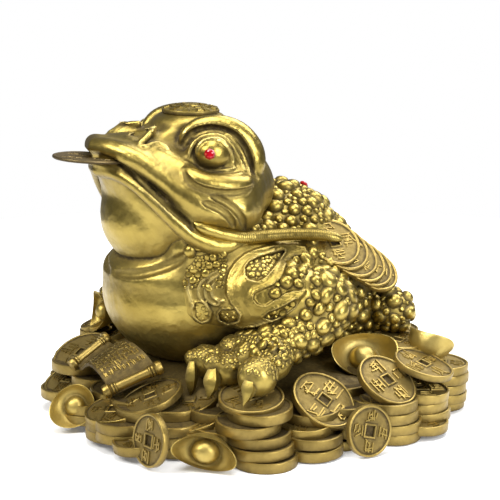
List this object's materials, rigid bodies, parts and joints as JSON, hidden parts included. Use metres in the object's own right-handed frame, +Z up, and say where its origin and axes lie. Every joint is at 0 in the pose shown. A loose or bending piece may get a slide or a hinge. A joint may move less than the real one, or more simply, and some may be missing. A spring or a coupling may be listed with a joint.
{
  "type": "money toad figure",
  "caption": "Cast brass toad with upturned head, warty back and rope whiskers, sitting on a round heap of coins and ingots, a loose holed coin in its mouth and small red stones for eyes.",
  "frame": {"origin": "on the table under the middle of the figure's bounding box", "axes": "+Z up, the toad faces -Y, its left side is +X"},
  "size_m": [0.204, 0.2074, 0.1424],
  "materials": {
    "brass": "burnished brass with dark patina in the recesses",
    "coin_brass": "dull stamped brass",
    "red_stone": "faceted red glass stone, polished"
  },
  "bodies": {
    "root": {"toad_casting": "brass", "mouth_coin": "coin_brass", "eye_stone_left": "red_stone", "eye_stone_right": "red_stone", "back_stone_1": "red_stone", "back_stone_2": "red_stone", "back_stone_3": "red_stone", "back_stone_4": "red_stone", "back_stone_5": "red_stone", "back_stone_6": "red_stone", "back_stone_7": "red_stone"}
  },
  "joints": []
}
